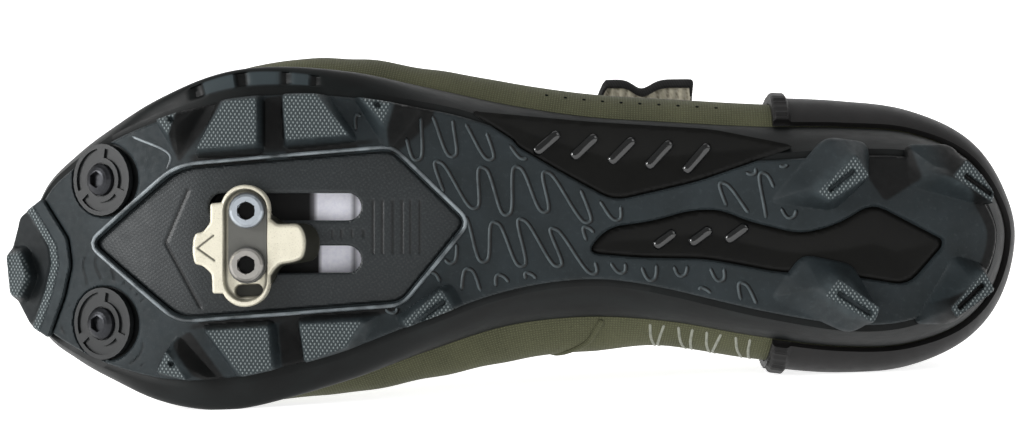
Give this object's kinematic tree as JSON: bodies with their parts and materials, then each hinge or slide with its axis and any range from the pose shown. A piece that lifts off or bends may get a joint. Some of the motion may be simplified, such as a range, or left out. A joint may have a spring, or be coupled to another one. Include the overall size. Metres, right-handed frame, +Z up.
{
  "type": "cycling shoe",
  "caption": "Left off-road cycling shoe lying on its inner side, with lugged rubber tread, stiff shell and a bolted pedal cleat.",
  "frame": {"origin": "bottom centre of the bounding box, on the floor, with the shoe lying on its inner side", "axes": "-X towards the toe, -Y the way the tread faces, +Z up, which is the shoe's outer side"},
  "size_m": [0.2788, 0.1212, 0.0926],
  "materials": {
    "shell": "black composite, low gloss",
    "tread": "matt blue-grey rubber",
    "plug": "matt",
    "dark_steel": "black oxide, satin",
    "cleat_steel": "pale satin plating",
    "washer_steel": "dark satin",
    "bolt_steel": "satin steel",
    "insole_board": "pale board",
    "upper_cloth": "olive coated weave",
    "cup": "black, fine grain",
    "tongue_mesh": "cream ribbed mesh with dark edge",
    "strap": "dark webbing"
  },
  "bodies": {
    "root": {"sole_shell": "shell", "outsole": "tread", "toe_bumper": "tread", "stud_plug_outer": "plug", "stud_plug_inner": "plug", "stud_screw_outer": "dark_steel", "stud_screw_inner": "dark_steel", "cleat": "cleat_steel", "cleat_washer": "washer_steel", "cleat_bolt_outer": "bolt_steel", "cleat_bolt_inner": "bolt_steel", "insole": "insole_board", "upper": "upper_cloth", "heel_cup": "cup", "tongue": "tongue_mesh", "strap_toe": "strap", "strap_mid": "strap", "strap_instep": "strap"}
  },
  "joints": []
}
